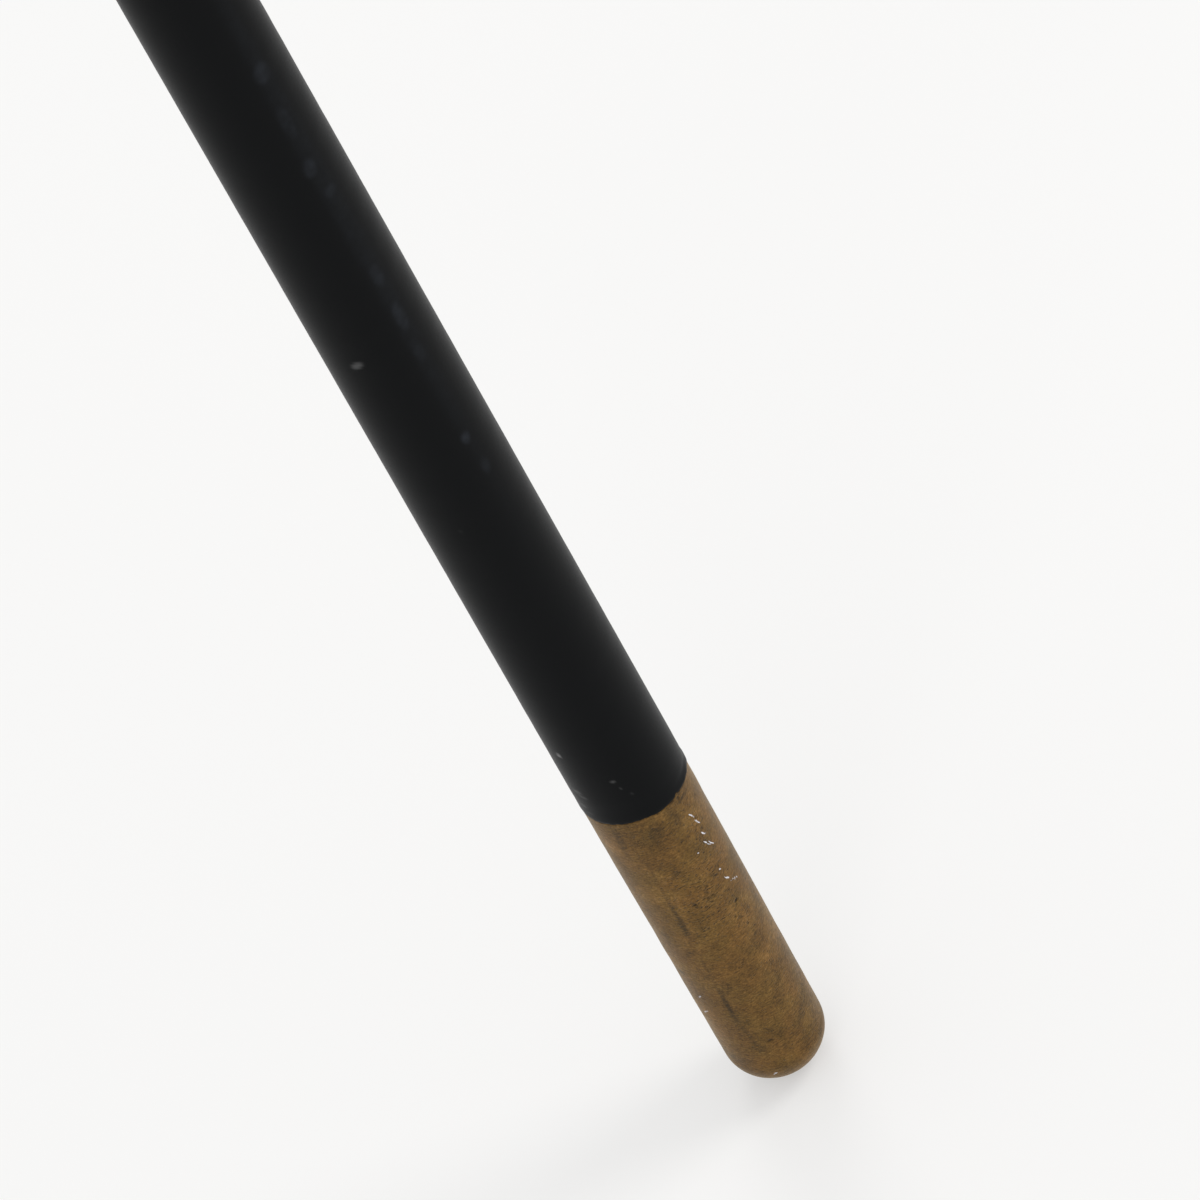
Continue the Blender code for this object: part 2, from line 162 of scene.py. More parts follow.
def ripple(angle, height, seed, waves, shortest, longest):
    """Sum of cosines of (turns * angle +- 2 pi height / length + phase), scaled to about 1.

    The numbers of turns are whole, so that the sum closes round the axis.
    """
    draw = np.random.default_rng(seed)
    most_turns = int(2 * math.pi * TUBE_RADIUS / shortest)
    total = np.zeros(np.broadcast(angle, height).shape)
    for _ in range(waves):
        length = longest * (shortest / longest) ** draw.random()
        turns = draw.integers(0, most_turns + 1)
        phase = draw.random() * 2 * math.pi
        lean = draw.choice((-1.0, 1.0))
        total += np.cos(turns * angle + lean * 2 * math.pi * height / length + phase)
    return total / math.sqrt(waves)


def degrees_round(angle):
    """Angle in degrees between -180 and 180."""
    return np.degrees(np.remainder(angle + math.pi, 2 * math.pi) - math.pi)


def rise(turn, place, spread):
    """0 well before a place and 1 well past it, as 1 / (1 + exp(-distance / spread))."""
    return 1 / (1 + np.exp(-(turn - place) / spread))


def hump(place, centre, width):
    """1 at a centre, falling off on both sides as exp(-(distance / width)^2)."""
    return np.exp(-((place - centre) / width) ** 2)


def spots(angle, radius, height, placed):
    """Largest of soft spots, laid out as the lists of marks are. Each falls off as exp(-d^4), d the
    distance from its centre in half sizes."""
    total = np.zeros(angle.shape)
    for centre, level, half_width, half_height, lean, strength in placed:
        turn = np.remainder(angle - math.radians(centre) + math.pi, 2 * math.pi) - math.pi
        across = turn * radius / MM
        up = height / MM - level
        across = across - lean * up
        far = (across / half_width) ** 2 + (up / half_height) ** 2
        total = np.maximum(total, strength * np.exp(-far ** 2))
    return total


def turned_surface(name, profile, segments, place=UPRIGHT, closed=False, relief=None, slide=None,
                   masks=None):
    """Carries a profile round an axis: (r sin a, -r cos a, h) for a from 0 to a full turn.

    profile holds (r, h) rows down the outer side. relief(angle, radius, height) moves each point
    along the profile's outward direction, and slide(angle, height) moves it along the axis. masks
    are functions of angle, radius and height, stored on the points by name, with the way travelled
    along the profile in mm.
    """
    profile = profile.copy()
    if not closed:
        profile[[0, -1], 0] = 0.0
    rows = len(profile)
    steps = np.linalg.norm(np.diff(profile, axis=0), axis=1)
    travel = np.concatenate([[0.0], np.cumsum(steps)]) / MM
    angle = np.repeat(np.arange(segments)[None, :] * (2 * math.pi / segments), rows, axis=0)
    radius = np.repeat(profile[:, :1], segments, axis=1)
    height = np.repeat(profile[:, 1:], segments, axis=1)
    stored = {key: mask(angle, radius, height) for key, mask in (masks or {}).items()}
    stored["travel"] = np.repeat(travel[:, None], segments, axis=1)
    if relief is not None:
        lift = relief(angle, radius, height)
        if not closed:
            lift[[0, -1]] = lift[[0, -1]].mean(axis=1, keepdims=True)
        way = outward(profile, closed)
        radius = radius + lift * way[:, :1]
        height = height + lift * way[:, 1:]
    if slide is not None:
        height = height + slide(angle, height)
    points = np.stack([radius * np.sin(angle), -radius * np.cos(angle), height], axis=-1)

    index = np.arange(rows * segments).reshape(rows, segments)
    if not closed:                       # the first and last rows are single points on the axis
        index[[0, -1]] = index[[0, -1], :1]
    upper = index if closed else index[:-1]
    lower = np.roll(index, -1, axis=0) if closed else index[1:]
    quads = np.stack([upper, lower, np.roll(lower, -1, axis=1), np.roll(upper, -1, axis=1)], axis=-1)
    return surface_object(name, points.reshape(-1, 3), quads.reshape(-1, 4), stored, place)


def surface_object(name, points, quads, stored, place):
    """Makes a mesh object of grid points and quads. Quads that meet a pole become triangles."""
    matrix = np.array(place)
    points = points @ matrix[:3, :3].T + matrix[:3, 3]
    used, quads = np.unique(quads, return_inverse=True)
    quads = quads.reshape(-1, 4)
    top_pole = quads[:, 0] == quads[:, 3]
    low_pole = quads[:, 1] == quads[:, 2]
    faces = quads[~(top_pole | low_pole)].tolist()
    faces += quads[top_pole][:, [0, 1, 2]].tolist()
    faces += quads[low_pole][:, [0, 1, 3]].tolist()
    mesh = bpy.data.meshes.new(name)
    mesh.from_pydata(points[used].tolist(), [], faces)
    for key, values in stored.items():
        layer = mesh.attributes.new(key, "FLOAT", "POINT")
        layer.data.foreach_set("value", values.reshape(-1)[used].astype(np.float32))
    finish_mesh(mesh)
    obj = bpy.data.objects.new(name, mesh)
    bpy.context.scene.collection.objects.link(obj)
    return obj


def finish_mesh(mesh):
    """Smooth shading with sharp edges kept."""
    mesh.shade_smooth()
    mesh.set_sharp_from_angle(angle=math.radians(38))


def cylinder_tool(radius, bottom, top, segments):
    """Straight cylinder round Z, to cut with."""
    profile = polyline([(0.0, top), (radius, top), (radius, bottom), (0.0, bottom)], 1.0)
    return turned_surface("cutting_tool", profile, segments)


def box_tool(size, centre):
    """Box round a centre, to cut with."""
    corners = np.array([(x, y, z) for x in (-0.5, 0.5) for y in (-0.5, 0.5) for z in (-0.5, 0.5)])
    quads = [(0, 1, 3, 2), (4, 6, 7, 5), (0, 4, 5, 1), (2, 3, 7, 6), (0, 2, 6, 4), (1, 5, 7, 3)]
    mesh = bpy.data.meshes.new("cutting_tool")
    mesh.from_pydata((corners * np.array(size) + np.array(centre)).tolist(), [], quads)
    obj = bpy.data.objects.new("cutting_tool", mesh)
    bpy.context.scene.collection.objects.link(obj)
    return obj


def cut(piece, tool):
    """Takes a tool's shape out of a piece and throws the tool away."""
    boolean = piece.modifiers.new("cut", "BOOLEAN")
    boolean.operation = "DIFFERENCE"
    boolean.solver = "EXACT"
    boolean.object = tool
    view = bpy.context.evaluated_depsgraph_get()
    mesh = bpy.data.meshes.new_from_object(piece.evaluated_get(view))
    piece.modifiers.clear()
    piece.data = mesh
    finish_mesh(mesh)
    bpy.data.objects.remove(tool, do_unlink=True)


# Nodes -------------------------------------------------------------------------------------

def srgb(code):
    """Linear colour of an sRGB hex code."""
    parts = [int(code[i:i + 2], 16) / 255 for i in (1, 3, 5)]
    return tuple(p / 12.92 if p <= 0.04045 else ((p + 0.055) / 1.055) ** 2.4 for p in parts) + (1.0,)


def node(tree, kind, inputs=None, stops=None, **settings):
    """Adds a node, gives it its settings and ramp stops, and sets or links its inputs."""
    made = tree.nodes.new(kind)
    for key, value in settings.items():
        setattr(made, key, value)
    if stops is not None:
        ramp = made.color_ramp.elements
        while len(ramp) < len(stops):
            ramp.new(0.5)
        for element, (position, colour) in zip(ramp, stops):
            element.position = position
            element.color = colour
    for key, value in (inputs or {}).items():
        if isinstance(value, bpy.types.NodeSocket):
            tree.links.new(value, made.inputs[key])
        else:
            made.inputs[key].default_value = value
    return made


def new_material(name):
    """An empty node material with its output: (material, tree, output)."""
    material = bpy.data.materials.new(name)
    material.use_nodes = True
    tree = material.node_tree
    tree.nodes.clear()
    output = tree.nodes.new("ShaderNodeOutputMaterial")
    return material, tree, output


# Materials ---------------------------------------------------------------------------------

def brown_patinated_brass():
    """Brass with a brown patina, rubbed round by hand: matt, mottled, peppered with small pits.

    Clouds 6 mm across carry the lighter and darker brown of it, others 4 mm across turn the brown from
    olive to red. Strokes 0.8 by 0.3 mm and a 0.3 mm grain break both. Worn places are yellower and
    peppered with dashes 0.6 mm long. Flakes are bluish white metal, and the listed ones are painted
    glints where a lamp's reflection runs. Smears and washes are olive grey, and a painted shade line
    lies under the tube's rim.
    """
    material, tree, output = new_material("brown_patinated_brass")
    place = node(tree, "ShaderNodeTexCoord").outputs["Object"]
    space = node(tree, "ShaderNodeMapping", {"Vector": place, "Scale": (1000, 1000, 1000)}).outputs[0]
    clouds = node(tree, "ShaderNodeTexNoise", {
        "Vector": space, "Scale": 0.17, "Detail": 5.0, "Roughness": 0.62,
    })
    hues = node(tree, "ShaderNodeTexNoise", {
        "Vector": space, "W": 3.0, "Scale": 0.25, "Detail": 3.0, "Roughness": 0.55,
    }, noise_dimensions="4D")
    stroke_space = node(tree, "ShaderNodeMapping", {"Vector": place, "Scale": (1250, 1250, 3300)})
    strokes = node(tree, "ShaderNodeTexNoise", {
        "Vector": stroke_space.outputs[0], "Scale": 1.0, "Detail": 3.0, "Roughness": 0.6,
    })
    grain = node(tree, "ShaderNodeTexNoise", {
        "Vector": space, "Scale": 3.3, "Detail": 2.0, "Roughness": 0.6,
    })
    worn = node(tree, "ShaderNodeAttribute", attribute_name="worn")
    mixed = node(tree, "ShaderNodeMix", {0: 0.5, 2: clouds.outputs[0], 3: strokes.outputs[0]})
    blend = node(tree, "ShaderNodeMix", {0: 0.3, 2: mixed.outputs[0], 3: grain.outputs[0]})
    lifted = node(tree, "ShaderNodeMath", {0: worn.outputs["Fac"], 1: 0.03, 2: blend.outputs[0]},
                  operation="MULTIPLY_ADD")
    olive = node(tree, "ShaderNodeValToRGB", {0: lifted.outputs[0]}, stops=[
        (0.37, srgb("#423217")),
        (0.44, srgb("#58431F")),
        (0.50, srgb("#674E24")),
        (0.56, srgb("#765A2B")),
        (0.65, srgb("#8D6E3B")),
    ])
    red = node(tree, "ShaderNodeValToRGB", {0: lifted.outputs[0]}, stops=[
        (0.37, srgb("#422E16")),
        (0.44, srgb("#583F1D")),
        (0.50, srgb("#664922")),
        (0.56, srgb("#755428")),
        (0.65, srgb("#8B6636")),
    ])
    hue = node(tree, "ShaderNodeMapRange", {
        0: hues.outputs[0], "From Min": 0.40, "From Max": 0.60, "To Min": 0.12, "To Max": 0.68,
    })
    brown = node(tree, "ShaderNodeMix", {
        0: hue.outputs[0], 6: red.outputs[0], 7: olive.outputs[0],
    }, data_type="RGBA")

    dash_space = node(tree, "ShaderNodeMapping", {"Vector": place, "Scale": (1500, 1500, 4200)})
    dashes = node(tree, "ShaderNodeTexNoise", {
        "Vector": dash_space.outputs[0], "W": 7.0, "Scale": 1.0, "Detail": 1.0, "Roughness": 0.5,
    }, noise_dimensions="4D")
    least = node(tree, "ShaderNodeMapRange", {
        0: worn.outputs["Fac"], "To Min": 0.68, "To Max": 0.57,
    })
    over = node(tree, "ShaderNodeMath", {0: dashes.outputs[0], 1: least.outputs[0]},
                operation="SUBTRACT")
    dash = node(tree, "ShaderNodeMapRange", {0: over.outputs[0], "From Max": 0.05, "To Max": 0.68})

    smear_and_seam_shade = node(tree, "ShaderNodeAttribute", attribute_name="smear_and_seam_shade")
    broken = node(tree, "ShaderNodeMapRange", {
        0: strokes.outputs[0], "From Min": 0.35, "From Max": 0.6, "To Min": 1.0, "To Max": 0.5,
    })
    smear_and_shade_share = node(tree, "ShaderNodeMath", {0: smear_and_seam_shade.outputs["Fac"], 1: broken.outputs[0]},
                       operation="MULTIPLY")
    # Olive grey for smears, and for the painted shade line under the tube's rim
    smeared_and_shaded = node(tree, "ShaderNodeMix", {
        0: smear_and_shade_share.outputs[0], 6: brown.outputs[2], 7: srgb("#382B18"),
    }, data_type="RGBA")
    pit = node(tree, "ShaderNodeAttribute", attribute_name="pit")
    dark = node(tree, "ShaderNodeMath", {0: pit.outputs["Fac"], 1: dash.outputs[0]},
                operation="MAXIMUM")
    pitted = node(tree, "ShaderNodeMix", {
        0: dark.outputs[0], 6: smeared_and_shaded.outputs[2], 7: srgb("#1E160B"),
    }, data_type="RGBA")
    flake_and_glint = node(tree, "ShaderNodeAttribute", attribute_name="flake_and_glint")
    chipped_and_glint = node(tree, "ShaderNodeMath", {0: grain.outputs[0], 1: 1.6, 2: flake_and_glint.outputs["Fac"]},
                   operation="MULTIPLY_ADD")
    bare_and_glint = node(tree, "ShaderNodeMapRange", {
        0: chipped_and_glint.outputs[0], "From Min": 1.28, "From Max": 1.58,
    })
    # Painted glints: bluish white metal on flakes and glints
    colour = node(tree, "ShaderNodeMix", {
        0: bare_and_glint.outputs[0], 6: pitted.outputs[2], 7: srgb("#E4E5EC"),
    }, data_type="RGBA")
    metal = node(tree, "ShaderNodeMapRange", {0: bare_and_glint.outputs[0], "To Min": 0.1, "To Max": 1.0})
    rough = node(tree, "ShaderNodeMapRange", {
        0: strokes.outputs[0], "From Min": 0.3, "From Max": 0.7, "To Min": 0.52, "To Max": 0.42,
    })
    ridges = node(tree, "ShaderNodeMix", {0: 0.4, 2: strokes.outputs[0], 3: grain.outputs[0]})
    height = node(tree, "ShaderNodeMath", {0: dash.outputs[0], 1: -1.3, 2: ridges.outputs[0]},
                  operation="MULTIPLY_ADD")
    bump = node(tree, "ShaderNodeBump", {
        "Height": height.outputs[0], "Strength": 0.7, "Distance": 0.0001,
    })
    shader = node(tree, "ShaderNodeBsdfPrincipled", {
        "Base Color": colour.outputs[2], "Metallic": metal.outputs[0],
        "Roughness": rough.outputs[0], "IOR": 1.23, "Normal": bump.outputs[0],
        "Sheen Weight": 0.2, "Sheen Roughness": 0.3, "Sheen Tint": (1.0, 0.83, 0.52, 1.0),
    })
    tree.links.new(shader.outputs[0], output.inputs[0])
    return material


def satin_black_coating():
    """Baked satin black coating on steel: near black, grazing sheen, faint orange peel.

    The skin rises and falls over 1.8 mm and fine grit of 0.15 mm dulls it. Rubbed places and a
    painted highlight streak down the right side are bluish grey, specks of dust are plain grey.
    """
    material, tree, output = new_material("satin_black_coating")
    place = node(tree, "ShaderNodeTexCoord").outputs["Object"]
    space = node(tree, "ShaderNodeMapping", {"Vector": place, "Scale": (1000, 1000, 1000)})
    peel = node(tree, "ShaderNodeTexNoise", {
        "Vector": space.outputs[0], "Scale": 0.55, "Detail": 2.0, "Roughness": 0.5,
    })
    grit = node(tree, "ShaderNodeTexNoise", {
        "Vector": space.outputs[0], "Scale": 6.0, "Detail": 1.0, "Roughness": 0.5,
    })
    # Rubbed places and a painted highlight: a bluish streak where a lamp's reflection runs down the
    # tube
    rub_and_highlight = node(tree, "ShaderNodeAttribute", attribute_name="rub_and_highlight")
    broken = node(tree, "ShaderNodeMapRange", {
        0: peel.outputs[0], "From Min": 0.35, "From Max": 0.65, "To Min": 0.55, "To Max": 1.0,
    })
    rub_and_highlight_share = node(tree, "ShaderNodeMath", {0: rub_and_highlight.outputs["Fac"], 1: broken.outputs[0]},
                     operation="MULTIPLY")
    # Bluish grey of rubs and of the painted highlight streak
    rubbed_and_highlit = node(tree, "ShaderNodeMix", {
        0: rub_and_highlight_share.outputs[0], 6: srgb("#101112"), 7: srgb("#26292E"),
    }, data_type="RGBA")
    dust = node(tree, "ShaderNodeAttribute", attribute_name="dust")
    colour = node(tree, "ShaderNodeMix", {
        0: dust.outputs["Fac"], 6: rubbed_and_highlit.outputs[2], 7: srgb("#888888"),
    }, data_type="RGBA")
    rough = node(tree, "ShaderNodeMapRange", {
        0: grit.outputs[0], "From Min": 0.3, "From Max": 0.7, "To Min": 0.32, "To Max": 0.42,
    })
    height = node(tree, "ShaderNodeMix", {0: 0.25, 2: peel.outputs[0], 3: grit.outputs[0]})
    bump = node(tree, "ShaderNodeBump", {
        "Height": height.outputs[0], "Strength": 0.25, "Distance": 0.00004,
    })
    shader = node(tree, "ShaderNodeBsdfPrincipled", {
        "Base Color": colour.outputs[2], "Roughness": rough.outputs[0], "IOR": 1.12,
        "Normal": bump.outputs[0],
    })
    tree.links.new(shader.outputs[0], output.inputs[0])
    return material


def tarnished_turned_brass():
    """Turned brass fittings, tarnished brown like the nose and rubbed bright by the hand.

    Tool rings 0.25 mm apart follow the turned profile, tarnish clouds are 4 mm across.
    """
    material, tree, output = new_material("tarnished_turned_brass")
    place = node(tree, "ShaderNodeTexCoord").outputs["Object"]
    space = node(tree, "ShaderNodeMapping", {"Vector": place, "Scale": (1000, 1000, 1000)})
    clouds = node(tree, "ShaderNodeTexNoise", {
        "Vector": space.outputs[0], "Scale": 0.25, "Detail": 5.0, "Roughness": 0.62,
    })
    travel = node(tree, "ShaderNodeAttribute", attribute_name="travel")
    rings = node(tree, "ShaderNodeTexNoise", {"W": travel.outputs["Fac"], "Scale": 4.0, "Detail": 2.0},
                 noise_dimensions="1D")
    blend = node(tree, "ShaderNodeMix", {0: 0.2, 2: clouds.outputs[0], 3: rings.outputs[0]})
    colour = node(tree, "ShaderNodeValToRGB", {0: blend.outputs[0]}, stops=[
        (0.34, srgb("#6B5230")),
        (0.48, srgb("#8C6F40")),
        (0.60, srgb("#A98850")),
        (0.72, srgb("#C2A163")),
    ])
    rough = node(tree, "ShaderNodeMapRange", {
        0: clouds.outputs[0], "From Min": 0.35, "From Max": 0.65, "To Min": 0.46, "To Max": 0.3,
    })
    bump = node(tree, "ShaderNodeBump", {
        "Height": rings.outputs[0], "Strength": 0.35, "Distance": 0.00002,
    })
    shader = node(tree, "ShaderNodeBsdfPrincipled", {
        "Base Color": colour.outputs[0], "Metallic": 1.0, "Roughness": rough.outputs[0],
        "Normal": bump.outputs[0],
    })
    tree.links.new(shader.outputs[0], output.inputs[0])
    return material


def oiled_ash():
    """Turned ash, oiled: pale late wood, darker open-pored early wood, year rings 1.5 to 3 mm.

    The rings lie round a pith 34 mm below and beside the grip and sway by a few millimetres, so
    that turning the barrel through them gives long pointed figures. Pores are dashes 5 mm long
    and 0.2 mm wide, and handling has darkened the wood in clouds 15 mm across.
    """
    material, tree, output = new_material("oiled_ash")
    place = node(tree, "ShaderNodeTexCoord").outputs["Object"]
    sway_space = node(tree, "ShaderNodeMapping", {"Vector": place, "Scale": (16, 30, 30)})
    sway = node(tree, "ShaderNodeTexNoise", {
        "Vector": sway_space.outputs[0], "Scale": 1.0, "Detail": 3.0, "Roughness": 0.45,
    })
    pith = node(tree, "ShaderNodeMapping", {
        "Vector": place, "Location": (0, 22, -GRIP_AXIS * 1000 + 26), "Scale": (0, 1000, 1000),
    })
    reach = node(tree, "ShaderNodeVectorMath", {0: pith.outputs[0]}, operation="LENGTH")
    swayed = node(tree, "ShaderNodeMath", {0: sway.outputs[0], 1: 13.0, 2: reach.outputs["Value"]},
                  operation="MULTIPLY_ADD")
    growth = node(tree, "ShaderNodeTexNoise", {"W": swayed.outputs[0], "Scale": 0.22, "Detail": 1.0},
                  noise_dimensions="1D")
    grown = node(tree, "ShaderNodeMath", {0: growth.outputs[0], 1: 6.0, 2: swayed.outputs[0]},
                 operation="MULTIPLY_ADD")
    years = node(tree, "ShaderNodeMath", {0: grown.outputs[0], 1: 2.3}, operation="DIVIDE")
    year = node(tree, "ShaderNodeMath", {0: years.outputs[0]}, operation="FRACT")
    early = node(tree, "ShaderNodeValToRGB", {0: year.outputs[0]}, stops=[
        (0.0, (0.95, 0.95, 0.95, 1)), (0.18, (0.6, 0.6, 0.6, 1)), (0.5, (0.16, 0.16, 0.16, 1)),
        (0.86, (0.05, 0.05, 0.05, 1)), (1.0, (0.95, 0.95, 0.95, 1)),
    ])
    pore_space = node(tree, "ShaderNodeMapping", {"Vector": place, "Scale": (200, 4200, 4200)})
    pores = node(tree, "ShaderNodeTexNoise", {
        "Vector": pore_space.outputs[0], "Scale": 1.0, "Detail": 2.0, "Roughness": 0.6,
    })
    pore_share = node(tree, "ShaderNodeMapRange", {
        0: pores.outputs[0], "From Min": 0.53, "From Max": 0.62,
    })
    pore_mask = node(tree, "ShaderNodeMath", {0: pore_share.outputs[0], 1: early.outputs[0]},
                     operation="MULTIPLY")
    fibre_space = node(tree, "ShaderNodeMapping", {"Vector": place, "Scale": (50, 1500, 1500)})
    fibres = node(tree, "ShaderNodeTexNoise", {
        "Vector": fibre_space.outputs[0], "Scale": 1.0, "Detail": 4.0, "Roughness": 0.62,
    })
    handled = node(tree, "ShaderNodeTexNoise", {
        "Vector": place, "Scale": 65.0, "Detail": 3.0, "Roughness": 0.55,
    })
    tone = node(tree, "ShaderNodeMix", {0: 0.62, 2: early.outputs[0], 3: fibres.outputs[0]})
    darkened = node(tree, "ShaderNodeMix", {0: 0.28, 2: tone.outputs[0], 3: handled.outputs[0]})
    wood = node(tree, "ShaderNodeValToRGB", {0: darkened.outputs[0]}, stops=[
        (0.30, srgb("#C19A68")),
        (0.40, srgb("#B68A56")),
        (0.52, srgb("#A27443")),
        (0.66, srgb("#875B32")),
    ])
    colour = node(tree, "ShaderNodeMix", {
        0: pore_mask.outputs[0], 6: wood.outputs[0], 7: srgb("#5A3A1F"),
    }, data_type="RGBA")
    height = node(tree, "ShaderNodeMath", {0: pore_mask.outputs[0], 1: -1.0}, operation="MULTIPLY")
    bump = node(tree, "ShaderNodeBump", {
        "Height": height.outputs[0], "Strength": 0.3, "Distance": 0.00005,
    })
    rough = node(tree, "ShaderNodeMapRange", {0: handled.outputs[0], "To Min": 0.52, "To Max": 0.34})
    shader = node(tree, "ShaderNodeBsdfPrincipled", {
        "Base Color": colour.outputs[2], "Roughness": rough.outputs[0], "IOR": 1.45,
        "Normal": bump.outputs[0],
    })
    tree.links.new(shader.outputs[0], output.inputs[0])
    return material


def zinc_plated_steel():
    """Turned steel, zinc plated: grey with a faint blue, rings every 1.25 mm as on an M8 thread."""
    material, tree, output = new_material("zinc_plated_steel")
    place = node(tree, "ShaderNodeTexCoord").outputs["Object"]
    space = node(tree, "ShaderNodeMapping", {"Vector": place, "Scale": (1000, 1000, 1000)})
    clouds = node(tree, "ShaderNodeTexNoise", {
        "Vector": space.outputs[0], "Scale": 0.5, "Detail": 4.0, "Roughness": 0.6,
    })
    colour = node(tree, "ShaderNodeValToRGB", {0: clouds.outputs[0]}, stops=[
        (0.35, srgb("#9A9DA2")), (0.65, srgb("#BFC2C6")),
    ])
    thread = node(tree, "ShaderNodeTexWave", {"Vector": space.outputs[0], "Scale": 0.25},
                  bands_direction="Z")
    bump = node(tree, "ShaderNodeBump", {
        "Height": thread.outputs["Fac"], "Strength": 0.6, "Distance": 0.0002,
    })
    shader = node(tree, "ShaderNodeBsdfPrincipled", {
        "Base Color": colour.outputs[0], "Metallic": 1.0, "Roughness": 0.38,
        "Normal": bump.outputs[0],
    })
    tree.links.new(shader.outputs[0], output.inputs[0])
    return material


def lit_white_acrylic():
    """Matt white acrylic table lit from below, so that shadows on it stay pale."""
    material, tree, output = new_material("lit_white_acrylic")
    shader = node(tree, "ShaderNodeBsdfPrincipled", {
        "Base Color": (0.46, 0.458, 0.452, 1.0), "Roughness": 1.0, "Specular IOR Level": 0.0,
        "Emission Color": (1.0, 1.0, 1.0, 1.0), "Emission Strength": 0.44,
    })
    tree.links.new(shader.outputs[0], output.inputs[0])
    return material


# Pieces ------------------------------------------------------------------------------------

# Marks. Each is (angle in degrees, height, half width, half height, lean, strength), in mm. Lean is
# the shift across for each millimetre up.
SMEARS = (
    (-29.5, 50.5, 0.50, 6.5, 0.0, 0.80),
    (-29.5, 48.0, 0.66, 3.6, 0.03, 0.95),
    (-29.5, 60.0, 0.30, 9.0, 0.0, 0.30),
    (-30.0, 38.0, 0.30, 8.0, 0.0, 0.22),
    (-30.5, 26.0, 0.42, 5.2, -0.02, 1.0),
    (-28.0, 18.5, 0.50, 3.0, -0.1, 0.40),
    (-23.0, 14.0, 0.70, 2.8, -0.2, 0.45),
    (-45.0, 71.0, 0.80, 4.0, 0.0, 0.65),
    (-4.0, 71.5, 1.50, 2.6, 0.0, 0.65),
    (-1.5, 74.0, 0.70, 2.0, 0.0, 0.40),
    (20.0, 72.5, 0.90, 2.8, -0.1, 0.70),
    (39.5, 74.2, 1.70, 0.50, 0.0, 0.90),
    (-18.0, 63.5, 0.60, 0.60, 0.0, 0.35),
    (-6.0, 60.7, 1.30, 0.75, 0.3, 0.60),
    (-24.0, 60.3, 1.30, 0.14, -0.08, 0.70),
    (-12.0, 60.2, 1.00, 0.12, 0.0, 0.45),
    (27.0, 24.0, 1.30, 3.2, 0.3, 0.35),
    (36.0, 15.0, 1.30, 1.6, 0.8, 0.60),
    (30.0, 9.5, 1.60, 1.2, 0.9, 0.30),
    (34.5, 29.6, 0.75, 0.32, 0.0, 0.85),
    (3.0, 35.6, 0.60, 0.35, -0.4, 0.65),
    (-38.7, 40.8, 0.60, 0.28, 0.0, 0.85),
    (-57.0, 44.8, 0.70, 0.40, 0.0, 0.65),
    (-71.0, 33.8, 1.10, 0.70, 0.0, 0.90),
    (-58.0, 10.5, 3.00, 1.20, 0.0, 0.50),
    (50.0, 7.6, 0.80, 0.45, 0.4, 0.85),
    (-12.0, 7.5, 4.50, 0.90, 0.0, 0.30),
    (37.0, 37.5, 0.60, 0.35, 0.0, 0.75),
)
PITS = (
    (35.2, 46.8, 0.50, 0.34, 0.3, 1.0),
    (33.0, 46.2, 0.22, 0.16, 0.0, 0.6),
    (-6.6, 52.2, 0.42, 0.26, 0.0, 1.0),
    (8.5, 52.2, 0.42, 0.18, 0.0, 0.9),
    (14.6, 52.1, 0.32, 0.20, 0.2, 0.9),
    (-8.5, 14.9, 0.48, 0.26, 0.7, 0.9),
    (33.5, 75.0, 0.35, 0.22, 0.0, 0.9),
    (13.5, 54.6, 0.36, 0.20, 0.0, 0.8),
    (-4.5, 53.8, 0.12, 0.40, 0.0, 0.5),
    (30.0, 43.2, 0.40, 0.20, 0.0, 0.8),
    (24.5, 44.4, 0.34, 0.20, 0.3, 0.8),
    (25.0, 62.6, 0.30, 0.12, 0.0, 0.6),
    (40.5, 68.1, 0.30, 0.22, 0.0, 0.8),
    (36.0, 56.0, 0.25, 0.12, 0.0, 0.7),
    (-27.0, 75.0, 0.20, 0.30, 0.0, 0.5),
)
# Painted glints: bluish white metal spots, mostly along a lamp's reflection line at 22 to 50 degrees,
# the rest on the left side and on the dome
FLAKES_AND_GLINTS = (
    (37.0, 69.4, 0.18, 0.70, -0.45, 1.0),
    (38.8, 68.6, 0.14, 0.50, -0.5, 0.7),
    (40.2, 67.0, 0.15, 0.95, -0.45, 1.0),
    (38.4, 67.8, 0.14, 0.40, -0.9, 0.6),
    (39.4, 64.1, 0.20, 0.70, -0.5, 1.0),
    (40.8, 63.7, 0.12, 0.40, -1.5, 0.7),
    (36.6, 62.2, 0.18, 0.50, -0.5, 1.0),
    (38.9, 61.2, 0.13, 0.70, -0.6, 0.95),
    (41.6, 61.2, 0.13, 0.70, -0.2, 0.95),
    (43.8, 60.5, 0.17, 0.50, -0.5, 1.0),
    (22.7, 61.9, 0.26, 0.22, 0.0, 0.95),
    (36.0, 55.0, 0.24, 0.24, -0.8, 0.85),
    (38.2, 52.3, 0.24, 0.50, -0.9, 1.0),
    (40.5, 51.7, 0.28, 0.18, 0.0, 0.8),
    (45.6, 50.5, 0.20, 0.58, -1.8, 1.0),
    (49.6, 49.8, 0.18, 0.45, -2.4, 0.95),
    (34.5, 53.2, 0.12, 0.60, -1.2, 0.45),
    (-60.5, 27.7, 0.24, 0.60, 0.9, 1.0),
    (-65.3, 23.2, 0.24, 0.70, 1.1, 1.0),
    (-20.8, 6.5, 0.34, 0.24, 1.6, 1.0),
    (-24.0, 6.2, 0.20, 0.18, 1.0, 0.8),
)
